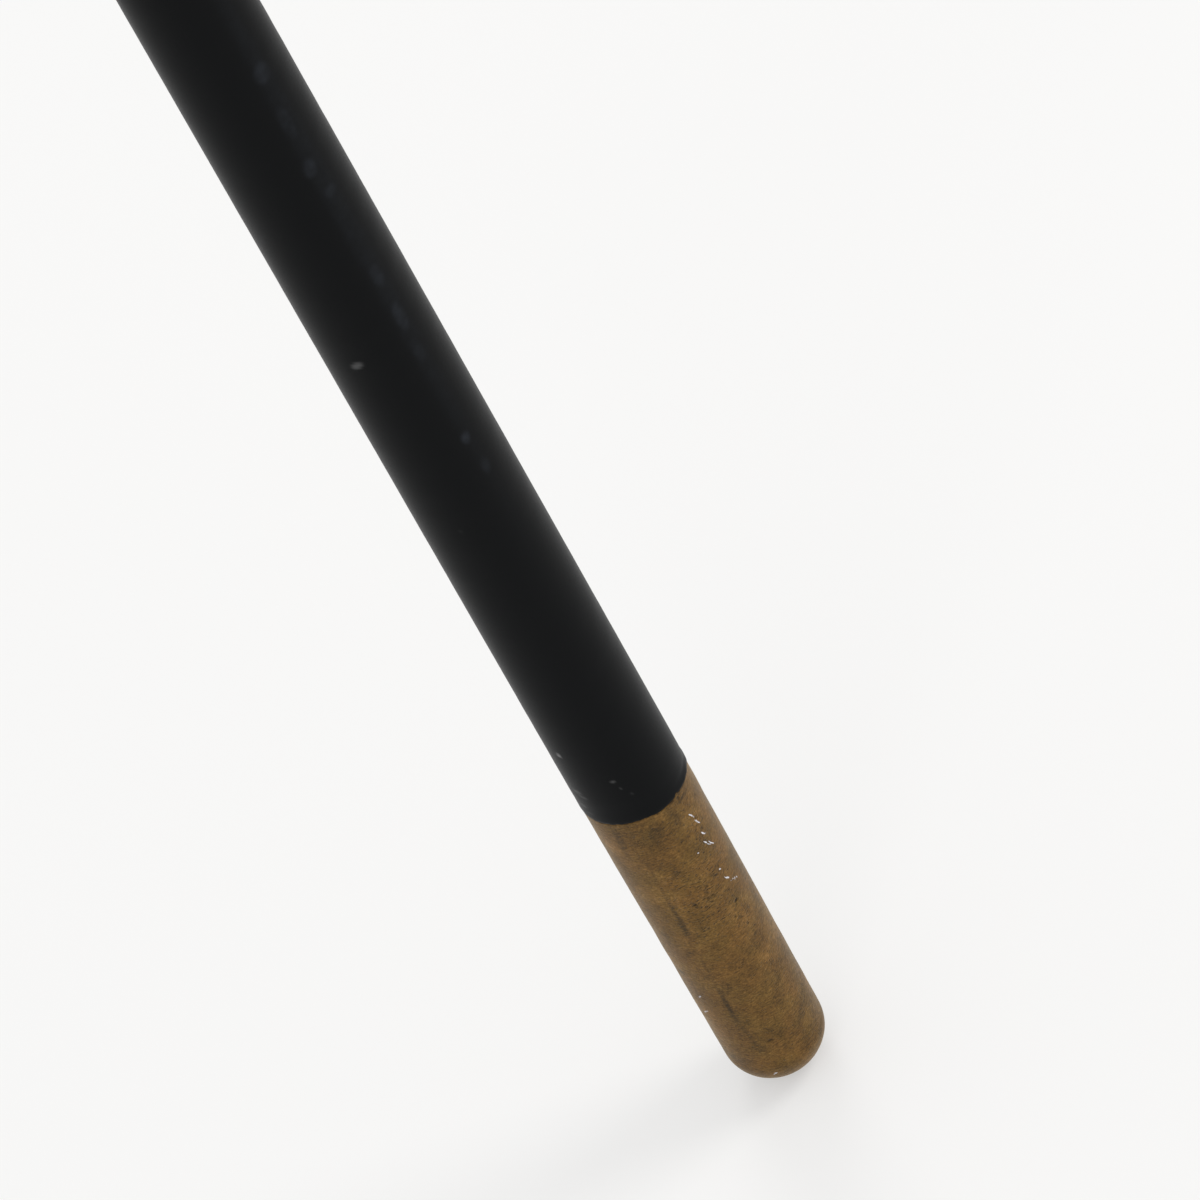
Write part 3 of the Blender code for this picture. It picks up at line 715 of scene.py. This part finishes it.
# Where the patina is rubbed thin and pitted
WORN = (
    (6.0, 53.0, 6.5, 11.0, 0.0, 1.0),
    (34.0, 62.0, 3.0, 12.0, 0.0, 0.9),
    (30.0, 44.0, 3.0, 6.0, 0.0, 0.8),
    (6.0, 70.0, 3.5, 4.5, 0.0, 0.5),
    (36.0, 31.0, 2.0, 2.5, 0.0, 0.7),
    (150.0, 52.0, 7.0, 12.0, 0.0, 0.6),
    (195.0, 30.0, 5.0, 9.0, 0.1, 0.6),
    (250.0, 60.0, 4.0, 9.0, 0.0, 0.7),
    (95.0, 40.0, 4.0, 14.0, 0.0, 0.5),
)
# Painted highlight: a bluish streak of spots at 22 to 29 degrees, where a lamp's reflection runs down
# the tube
PAINTED_HIGHLIGHT_STREAK = (
    (28.5, 225.0, 1.8, 62.0, 0.0, 0.2),
    (27.5, 257.0, 1.5, 2.4, 0.0, 0.7),
    (25.0, 246.0, 1.2, 4.5, 0.0, 0.45),
    (22.5, 235.5, 1.3, 2.0, 0.0, 0.7),
    (29.0, 229.0, 1.3, 1.6, 0.0, 0.55),
    (28.0, 209.0, 1.2, 3.0, 0.0, 0.6),
    (28.0, 199.0, 1.2, 3.4, 0.0, 0.7),
    (27.0, 191.0, 1.2, 3.0, 0.0, 0.4),
    (25.0, 169.5, 0.9, 1.3, 0.0, 1.0),
    (29.0, 162.0, 0.9, 2.0, 0.0, 0.4),
)
DUST = (
    (-33.6, 193.7, 0.95, 0.75, 0.6, 0.27),
    (-60.5, 93.6, 0.52, 0.46, 0.2, 0.65),
    (-16.8, 86.6, 0.36, 0.34, 0.0, 0.24),
    (-13.2, 84.7, 0.22, 0.20, 0.0, 0.12),
    (-6.0, 82.6, 0.24, 0.20, 0.0, 0.07),
    (-66.0, 83.5, 1.10, 0.50, 0.5, 0.20),
    (-60.0, 82.4, 0.90, 0.36, -0.5, 0.16),
    (-69.0, 79.5, 0.80, 0.40, 0.0, 0.15),
    (-64.0, 78.0, 0.70, 0.25, 0.0, 0.10),
    (-25.0, 152.0, 0.35, 0.30, 0.0, 0.03),
)


def scattered(seed, count, low, high, sizes, clear, share=1.0):
    """Random spots round the axis between two heights in mm, none within clear degrees of the front.

    sizes are the least and greatest half width and half height, share scales every strength.
    """
    draw = np.random.default_rng(seed)
    placed = []
    for _ in range(count):
        angle = clear + draw.random() * (360 - 2 * clear)
        half_width = sizes[0] + draw.random() * (sizes[1] - sizes[0])
        half_height = sizes[2] + draw.random() * (sizes[3] - sizes[2])
        level = low + draw.random() * (high - low)
        placed.append((angle, level, half_width, half_height, draw.normal() * 0.4,
                       share * (0.4 + 0.5 * draw.random())))
    return tuple(placed)


def seam_slide(angle, height):
    """How far the edge between tube and nose runs out of square, fading to either side of it.

    It lies SEAM_DROP low all round and SEAM_SIDE_DROP lower from 2 to 120 degrees, with 0.14 mm
    more near 10 degrees and 0.55 mm more near 84. That side is ragged, and has a nick.
    """
    turn = degrees_round(angle)
    side = rise(turn, 2, 2.5) - rise(turn, 120, 7)
    ragged = SEAM_RAGGED * ripple(angle, 0.0 * height, 31, 14, 1.5 * MM, 5 * MM)
    extra = 0.14 * MM * hump(turn, 10, 12) + 0.55 * MM * hump(turn, 84, 9)
    drop = SEAM_DROP + side * (SEAM_SIDE_DROP + extra + ragged)
    nick = NICK_HEIGHT * hump(turn, NICK_ANGLE, NICK_HALF_ANGLE)
    return nick * hump(height, JOINT, MM) - drop * hump(height, JOINT, 4 * MM)


def make_nose():
    """Long nose with a rounded end, slightly uneven from hand finishing, and its spigot."""
    spigot_top = SHOULDER + SPIGOT_LENGTH
    hole = spigot_top - STUD_HOLE_DEPTH
    upper = polyline([
        (0.0, hole), (STUD_HOLE_RADIUS, hole), (STUD_HOLE_RADIUS, spigot_top),
        (SPIGOT_RADIUS - SPIGOT_CHAMFER, spigot_top), (SPIGOT_RADIUS, spigot_top - SPIGOT_CHAMFER),
        (SPIGOT_RADIUS, SHOULDER),
    ], 4 * MM)
    shoulder = polyline([(SPIGOT_RADIUS, SHOULDER), (SHOULDER_RADIUS - SMALL_EDGE, SHOULDER)], MM)[1:-1]
    edge_centre = (SHOULDER_RADIUS - SMALL_EDGE, SHOULDER - SMALL_EDGE)
    edge = arc(edge_centre, SMALL_EDGE, SMALL_EDGE, 90, 0, 4)
    taper = line((SHOULDER_RADIUS, SHOULDER - SMALL_EDGE), (DOME_RADIUS, DOME_HEIGHT), 0.3 * MM)
    dome = arc((0.0, DOME_HEIGHT), DOME_RADIUS, DOME_HEIGHT, 0, -90, 42)
    profile = np.concatenate([upper, shoulder, edge, taper, dome, [(0.0, 0.0)]])
    all_pits = PITS + scattered(11, 26, 12, 74, (0.18, 0.38, 0.12, 0.25), 62)
    all_smears = SMEARS + scattered(12, 34, 6, 75, (0.6, 2.4, 0.3, 3.5), 75)
    # Random flakes added to the listed painted glints
    all_flakes_and_glints = FLAKES_AND_GLINTS + scattered(13, 22, 8, 72, (0.12, 0.3, 0.2, 0.7), 75)

    def outside(radius, height):
        """1 on the nose's own surface, 0 on the spigot and in the hole."""
        return (height < SHOULDER - 0.1 * SMALL_EDGE) & (radius > STUD_HOLE_RADIUS * 1.05) | (
            height < DOME_HEIGHT)

    def relief(angle, radius, height):
        """Long waves of 0.02 mm and pits 0.12 mm deep."""
        waves = 0.02 * MM * ripple(angle, height, 3, 24, 7 * MM, 40 * MM) * (radius / DOME_RADIUS)
        pits = 0.12 * MM * spots(angle, radius, height, all_pits)
        return (waves - 0.02 * MM - pits) * outside(radius, height)

    def painted_seam_shade(angle, height):
        """Painted shade under the tube's rim: a dark line 0.3 mm wide, broken round the nose."""
        broken = 0.55 + 0.3 * ripple(angle, 0.0 * height, 14, 16, 2 * MM, 12 * MM)
        return np.clip(broken, 0.0, 1.0) * hump(height, SHOULDER, 0.3 * MM)

    masks = {
        # Smears, with the painted shade line under the tube's rim
        "smear_and_seam_shade": lambda a, r, h: np.maximum(spots(a, r, h, all_smears), painted_seam_shade(a, h)),
        "pit": lambda a, r, h: spots(a, r, h, all_pits),
        "flake_and_glint": lambda a, r, h: spots(a, r, h, all_flakes_and_glints),
        "worn": lambda a, r, h: spots(a, r, h, WORN),
    }
    return turned_surface("brass_nose", profile, NOSE_STEPS, relief=relief, slide=seam_slide,
                          masks=masks)


def make_shaft():
    """Straight coated tube. Its lower rim is rounded, a little uneven and lipped on one side."""
    rim_centre = (TUBE_RADIUS - TUBE_RIM_RADIUS, JOINT + TUBE_RIM_RADIUS)
    top = TUBE_HIGH.z
    near_joint = JOINT + 6 * MM
    outer = np.concatenate([
        line((TUBE_RADIUS - TUBE_TOP_CHAMFER, top), (TUBE_RADIUS, top - TUBE_TOP_CHAMFER), MM),
        line((TUBE_RADIUS, top - TUBE_TOP_CHAMFER), (TUBE_RADIUS, near_joint), 0.52 * MM),
        line((TUBE_RADIUS, near_joint), (TUBE_RADIUS, JOINT + TUBE_RIM_RADIUS), 0.25 * MM),
    ])
    rim = arc(rim_centre, TUBE_RIM_RADIUS, TUBE_RIM_RADIUS, 0, -90, 4)
    inner = polyline([
        (TUBE_RADIUS - TUBE_RIM_RADIUS, JOINT), (BORE_RADIUS, JOINT), (BORE_RADIUS, top),
        (TUBE_RADIUS - TUBE_TOP_CHAMFER, top),
    ], 6 * MM)[:-1]
    profile = np.concatenate([outer, rim, inner])

    def relief(angle, radius, height):
        """Rim 0.04 mm uneven, a slight neck above it, a lip and a groove round 80 degrees.

        The whole skin rises and falls by 0.006 mm.
        """
        outside = radius > BORE_RADIUS + 0.1 * MM
        above = height - JOINT
        uneven = 0.04 * MM * (ripple(angle, 0.0 * height, 5, 18, 1.5 * MM, 6 * MM) - 1.0)
        rim_wear = np.minimum(uneven, 0.0) * hump(above, 0.0, 0.35 * MM)
        side = np.exp(-((degrees_round(angle) - 80) / 38) ** 4)
        groove = 0.05 * MM * side * hump(above, 1.5 * MM, 0.6 * MM)
        lip = 0.09 * MM * side * hump(above, 0.0, 0.6 * MM)
        neck = 0.025 * MM * hump(above, 3.0 * MM, 1.6 * MM)
        skin = 0.006 * MM * (ripple(angle, height, 6, 20, 5 * MM, 30 * MM) - 1.5)
        return (rim_wear - groove + lip - neck + skin) * outside

    # Random rubs round the tube, added to the painted highlight streak
    rubs_and_highlight = PAINTED_HIGHLIGHT_STREAK + scattered(21, 26, 84, 280, (0.8, 1.6, 1.2, 4.0), 75, 0.45)
    all_dust = DUST + scattered(22, 24, 80, 286, (0.2, 0.5, 0.2, 0.5), 80, 0.5)
    masks = {
        "rub_and_highlight": lambda a, r, h: spots(a, r, h, rubs_and_highlight),
        "dust": lambda a, r, h: spots(a, r, h, all_dust),
    }
    return turned_surface("shaft_skin", profile, TUBE_STEPS, closed=True, relief=relief,
                          slide=seam_slide, masks=masks)


def make_collar():
    """Collar: flange, cove, bead and lip outside, a socket for the tube inside."""
    top, bottom = COLLAR_HIGH.z, COLLAR_LOW.z
    bore = TUBE_RADIUS + SEAT_GAP
    wall = bore + COLLAR_WALL
    flange = wall + COLLAR_FLARE
    flange_bottom = top - COLLAR_FLANGE_HEIGHT
    bead_height = bottom + COLLAR_EDGE + 2 * COLLAR_BEAD
    cove_height = flange_bottom - bead_height - COLLAR_BEAD
    socket_top = top - COLLAR_WEB
    profile = np.concatenate([
        arc((flange - COLLAR_EDGE, top - COLLAR_EDGE), COLLAR_EDGE, COLLAR_EDGE, 90, 0, 5),
        line((flange, top - COLLAR_EDGE), (flange, flange_bottom), 0.8 * MM),
        arc((flange, flange_bottom - cove_height), COLLAR_FLARE, cove_height, 90, 180, 16),
        arc((wall, bead_height), COLLAR_BEAD, COLLAR_BEAD, 90, -90, 18),
        line((wall, bead_height - COLLAR_BEAD), (wall, bottom + COLLAR_EDGE), 0.5 * MM),
        arc((wall - COLLAR_EDGE, bottom + COLLAR_EDGE), COLLAR_EDGE, COLLAR_EDGE, 0, -90, 5),
        line((wall - COLLAR_EDGE, bottom), (bore, bottom), MM),
        line((bore, bottom), (bore, socket_top), 3 * MM),
        line((bore, socket_top), (STUD_PASSAGE_RADIUS, socket_top), 2 * MM),
        line((STUD_PASSAGE_RADIUS, socket_top), (STUD_PASSAGE_RADIUS, top), 2 * MM),
        line((STUD_PASSAGE_RADIUS, top), (flange - COLLAR_EDGE, top), 2 * MM),
    ])
    return turned_surface("brass_collar", profile, COLLAR_STEPS, closed=True)


def make_grip():
    """Cross grip: radius end + (middle - end) cos^2 along its half length, with its pockets."""
    pilot = SCREW_SHANK_RADIUS + SEAT_GAP
    pilot_floor = SCREW_LOW.x - SEAT_GAP
    ease = 0.4 * MM
    end = polyline([
        (0.0, pilot_floor), (pilot, pilot_floor), (pilot, TENON_END), (TENON_RADIUS, TENON_END),
        (TENON_RADIUS, GRIP_HALF), (GRIP_END_RADIUS - ease, GRIP_HALF),
    ], 2 * MM)[:-1]
    edge = arc((GRIP_END_RADIUS - ease, GRIP_HALF - ease), ease, ease, 90, 0, 4)
    place = np.linspace(GRIP_HALF - ease, -(GRIP_HALF - ease), 150)
    swell = np.cos(np.abs(place) / GRIP_HALF * math.pi / 2) ** 2
    barrel = np.stack([GRIP_END_RADIUS + (GRIP_RADIUS - GRIP_END_RADIUS) * swell, place], axis=1)
    half = np.concatenate([end, edge])
    profile = np.concatenate([half, barrel, half[::-1] * (1, -1)])

    def relief(angle, radius, height):
        """Hand-sanded unevenness of 0.05 mm, only inwards."""
        waves = ripple(angle, height, 8, 18, 12 * MM, 60 * MM) - 1.5
        return 0.03 * MM * waves * (np.abs(height) < GRIP_HALF - ease)

    grip = turned_surface("ash_grip", profile, GRIP_STEPS, TO_RIGHT, relief=relief)
    above, below = GRIP_HIGH.z + 10 * MM, GRIP_LOW.z - 10 * MM
    washer_pocket = WASHER_HIGH.x + SEAT_GAP
    washer_seat = WASHER_LOW.z - SEAT_GAP
    sleeve_floor = GRIP_SEAT + SLEEVE_FLOOR - SEAT_GAP
    collar_pocket = COLLAR_HIGH.x + SEAT_GAP
    cut(grip, cylinder_tool(collar_pocket, below, GRIP_SEAT, ROUND_STEPS))
    cut(grip, cylinder_tool(washer_pocket, washer_seat, above, ROUND_STEPS))
    cut(grip, cylinder_tool(SLEEVE_RADIUS + SEAT_GAP, sleeve_floor, above, 96))
    cut(grip, cylinder_tool(STUD_PASSAGE_RADIUS, below, above, 64))
    return grip


def make_washer():
    """Flat washer with rounded edges."""
    radius, top, bottom = WASHER_HIGH.x, WASHER_HIGH.z, WASHER_LOW.z
    hole = SLEEVE_RADIUS + SEAT_GAP
    profile = np.concatenate([
        arc((radius - SMALL_EDGE, top - SMALL_EDGE), SMALL_EDGE, SMALL_EDGE, 90, 0, 5),
        arc((radius - SMALL_EDGE, bottom + SMALL_EDGE), SMALL_EDGE, SMALL_EDGE, 0, -90, 5),
        line((radius - SMALL_EDGE, bottom), (hole, bottom), 2 * MM),
        line((hole, bottom), (hole, top), MM),
        line((hole, top), (radius - SMALL_EDGE, top), 2 * MM),
    ])
    return turned_surface("brass_washer", profile, ROUND_STEPS, closed=True)


def make_nut():
    """Sleeve nut: low dome with a slot, and a sleeve bored from below."""
    head = NUT_HIGH.x
    head_bottom = WASHER_HIGH.z + SEAT_GAP
    rim_top = head_bottom + NUT_RIM
    dome_height = NUT_HIGH.z - rim_top
    sleeve_bottom = NUT_LOW.z
    profile = np.concatenate([
        arc((0.0, rim_top), head, dome_height, 90, 0, 24),
        arc((head - SMALL_EDGE, rim_top - NUT_RIM + SMALL_EDGE), SMALL_EDGE, SMALL_EDGE, 0, -90, 4),
        polyline([
            (head - SMALL_EDGE, head_bottom), (SLEEVE_RADIUS, head_bottom),
            (SLEEVE_RADIUS, sleeve_bottom + SLEEVE_EDGE),
            (SLEEVE_RADIUS - SLEEVE_EDGE, sleeve_bottom), (STUD_HOLE_RADIUS, sleeve_bottom),
            (STUD_HOLE_RADIUS, head_bottom), (0.0, head_bottom),
        ], 3 * MM),
    ])
    nut = turned_surface("brass_sleeve_nut", profile, ROUND_STEPS)
    size = (4 * head, NUT_SLOT_WIDTH, 2 * NUT_SLOT_DEPTH)
    cut(nut, box_tool(size, (0.0, 0.0, NUT_HIGH.z)))
    return nut


def make_end_cap(name, place):
    """Cup over the end of the grip: rounded edge, flat face, countersunk hole."""
    face = CAP_HIGH.x
    mouth = CAP_LOW.x
    shank_hole = SCREW_SHANK_RADIUS + SEAT_GAP
    head_hole = SCREW_HIGH.z - GRIP_AXIS + SEAT_GAP
    cone_top = SCREW_HIGH.x - SCREW_RIM
    cone_depth = head_hole - shank_hole
    rim = GRIP_END_RADIUS - CAP_EDGE_RADIUS
    profile = np.concatenate([
        line((head_hole, face), (rim, face), MM),
        arc((rim, face - CAP_EDGE_RADIUS), CAP_EDGE_RADIUS, CAP_EDGE_RADIUS, 90, 0, 14),
        line((GRIP_END_RADIUS, face - CAP_EDGE_RADIUS), (GRIP_END_RADIUS, mouth + SMALL_EDGE), MM),
        arc((GRIP_END_RADIUS - SMALL_EDGE, mouth + SMALL_EDGE), SMALL_EDGE, SMALL_EDGE, 0, -90, 4),
        polyline([
            (GRIP_END_RADIUS - SMALL_EDGE, mouth), (TENON_RADIUS + SEAT_GAP, mouth),
            (TENON_RADIUS + SEAT_GAP, face - CAP_FACE_THICKNESS),
            (shank_hole, face - CAP_FACE_THICKNESS), (shank_hole, cone_top - cone_depth),
            (head_hole, cone_top),
        ], 2 * MM),
    ])
    return turned_surface(name, profile, CAP_STEPS, place, closed=True)


def make_end_screw(name, place):
    """Countersunk wood screw with a slot across its head."""
    top, tip = SCREW_HIGH.x, SCREW_LOW.x
    head = SCREW_HIGH.z - GRIP_AXIS
    cone_top = top - SCREW_RIM
    profile = polyline([
        (0.0, top), (head, top), (head, cone_top),
        (SCREW_SHANK_RADIUS, cone_top - (head - SCREW_SHANK_RADIUS)),
        (SCREW_SHANK_RADIUS, tip + SCREW_POINT_LENGTH), (0.0, tip),
    ], 0.7 * MM)
    screw = turned_surface(name, profile, SCREW_STEPS, place)
    size = (2 * SCREW_SLOT_DEPTH, 4 * head, SCREW_SLOT_WIDTH)
    side = 1 if place is TO_RIGHT else -1
    cut(screw, box_tool(size, (side * top, 0.0, GRIP_AXIS)))
    return screw


def place_piece(piece, node_name, material):
    """Puts a finished piece on the part's body in place of its CAD node."""
    piece.data.materials.clear()
    piece.data.materials.append(material)
    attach(piece, "root")
    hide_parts(node_name)


# Studio ------------------------------------------------------------------------------------

VIEW_ELEVATION = 44.69       # degrees the camera looks down
VIEW_ROLL = 29.34            # degrees the camera is turned clockwise round its line of sight
VIEW_DISTANCE = 1.9344       # metres
VIEW_LENS = 361.3            # mm on a 36 mm sensor
VIEW_ABOVE_JOINT = 39.19 * MM
VIEW_BESIDE_AXIS = 9.87 * MM


def make_camera():
    """Long lens that looks down at the nose, turned so that the shaft leans to the left."""
    data = bpy.data.cameras.new("camera")
    data.lens = VIEW_LENS
    data.sensor_width = 36.0
    data.clip_start = 0.05
    data.clip_end = 60.0
    camera = bpy.data.objects.new("camera", data)
    bpy.context.scene.collection.objects.link(camera)
    tilt = math.radians(VIEW_ELEVATION)
    back = Vector((0.0, -math.cos(tilt), math.sin(tilt)))
    target = Vector((VIEW_BESIDE_AXIS, 0.0, TUBE_LOW.z + VIEW_ABOVE_JOINT))
    upright = back.to_track_quat("Z", "Y").to_matrix().to_4x4()
    roll = Matrix.Rotation(-math.radians(VIEW_ROLL), 4, "Z")
    camera.matrix_world = Matrix.Translation(target + back * VIEW_DISTANCE) @ upright @ roll
    bpy.context.scene.camera = camera


def make_light(name, azimuth, elevation, distance, size, power, colour):
    """Round soft light aimed at the foot of the tool. Azimuth 0 is at -Y and 90 at +X."""
    data = bpy.data.lights.new(name, "AREA")
    data.shape = "DISK"
    data.size = size
    data.energy = power
    data.color = colour
    light = bpy.data.objects.new(name, data)
    bpy.context.scene.collection.objects.link(light)
    turn, rise = math.radians(azimuth), math.radians(elevation)
    way = Vector((math.sin(turn) * math.cos(rise), -math.cos(turn) * math.cos(rise), math.sin(rise)))
    light.location = way * distance
    light.rotation_mode = "QUATERNION"
    light.rotation_quaternion = way.to_track_quat("Z", "Y")


def make_studio():
    """Pale floor, pale surroundings and three soft lights."""
    scene = bpy.context.scene
    scene.view_settings.view_transform = "Standard"
    mesh = bpy.data.meshes.new("studio_floor")
    reach = 12.0
    mesh.from_pydata([(-reach, -reach, 0), (reach, -reach, 0), (reach, reach, 0), (-reach, reach, 0)],
                     [], [(0, 1, 2, 3)])
    mesh.materials.append(lit_white_acrylic())
    floor = bpy.data.objects.new("studio_floor", mesh)
    scene.collection.objects.link(floor)
    world = bpy.data.worlds.new("studio")
    world.use_nodes = True
    sky = world.node_tree.nodes["Background"]
    sky.inputs["Color"].default_value = (0.92, 0.92, 0.92, 1.0)
    sky.inputs["Strength"].default_value = 0.80
    scene.world = world
    make_light("key_right", 90, 42, 3.0, 1.3, 26.0, (1.0, 0.99, 0.975))
    make_light("key_back", 170, 45, 3.0, 1.3, 14.0, (1.0, 1.0, 1.0))
    make_light("fill_front_left", -25, 50, 3.0, 1.3, 9.0, (0.98, 0.99, 1.0))


# Assembly ----------------------------------------------------------------------------------

patina = brown_patinated_brass()
coating = satin_black_coating()
brass = tarnished_turned_brass()
ash = oiled_ash()
steel = zinc_plated_steel()

place_piece(make_nose(), "nose", patina)
place_piece(make_shaft(), "shaft_tube", coating)
place_piece(make_collar(), "collar", brass)
place_piece(make_grip(), "grip", ash)
place_piece(make_washer(), "grip_washer", brass)
place_piece(make_nut(), "sleeve_nut", brass)
for side, turn in (("left", TO_LEFT), ("right", TO_RIGHT)):
    place_piece(make_end_cap(side + "_brass_cup", turn), side + "_end_cap", brass)
    place_piece(make_end_screw(side + "_brass_screw", turn), side + "_end_screw", brass)
for name in ("nose_stud", "lower_plug", "upper_plug", "grip_stud"):
    for material_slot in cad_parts[name].material_slots:
        material_slot.material = steel

make_studio()
make_camera()
